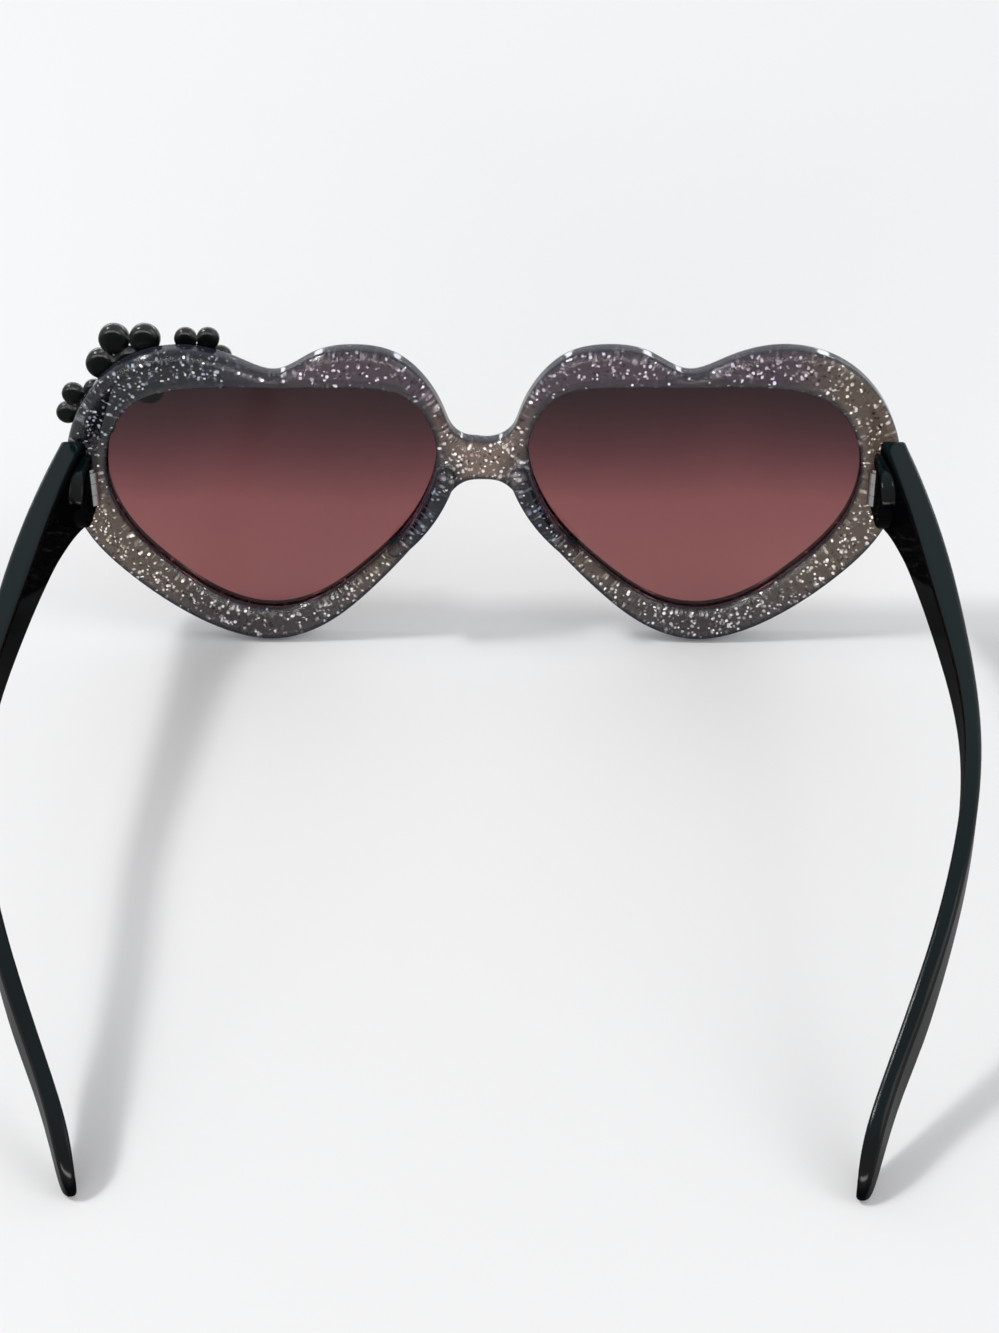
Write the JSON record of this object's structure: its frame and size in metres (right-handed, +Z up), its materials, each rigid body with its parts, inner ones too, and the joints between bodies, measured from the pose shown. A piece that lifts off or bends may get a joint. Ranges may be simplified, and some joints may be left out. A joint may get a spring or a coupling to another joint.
{
  "type": "heart shaped sunglasses",
  "caption": "Heart shaped sunglasses with a clear smoky glitter front, tinted lenses, small black flowers on one corner and black temples that fold on barrel hinges.",
  "frame": {"origin": "middle of the footprint, at the level of the table that the heart tips and temple tips rest on", "axes": "+X to the wearer's right, +Y the way the wearer looks, +Z up; temples open along -Y"},
  "size_m": [0.139, 0.1324, 0.0545],
  "materials": {
    "glitter_front": "clear smoky plastic full of silver glitter",
    "tinted_lens": "mauve tint, darker towards the top",
    "black_temple": "glossy black",
    "hinge_steel": "plain steel",
    "black_flower": "glossy black"
  },
  "bodies": {
    "front": {"front_frame": "glitter_front", "lens_right": "tinted_lens", "lens_left": "tinted_lens", "front_hinge_leaf_right": "hinge_steel", "front_hinge_leaf_left": "hinge_steel", "hinge_screw_right": "hinge_steel", "hinge_screw_left": "hinge_steel", "flower_large": "black_flower", "flower_small_top": "black_flower", "flower_small_side": "black_flower"},
    "temple_right": {"temple_right": "black_temple", "temple_hinge_leaf_right": "hinge_steel"},
    "temple_left": {"temple_left": "black_temple", "temple_hinge_leaf_left": "hinge_steel"}
  },
  "joints": [
    {"name": "right_temple_fold", "type": "hinge", "parent": "front", "child": "temple_right", "pos_m": [0.0622, 0.05596, 0.02926], "axis": [0, -0.0434, -0.9991], "range_deg": [0, 78]},
    {"name": "left_temple_fold", "type": "hinge", "parent": "front", "child": "temple_left", "pos_m": [-0.0622, 0.05596, 0.02926], "axis": [0, 0.0434, 0.9991], "range_deg": [0, 84]}
  ]
}
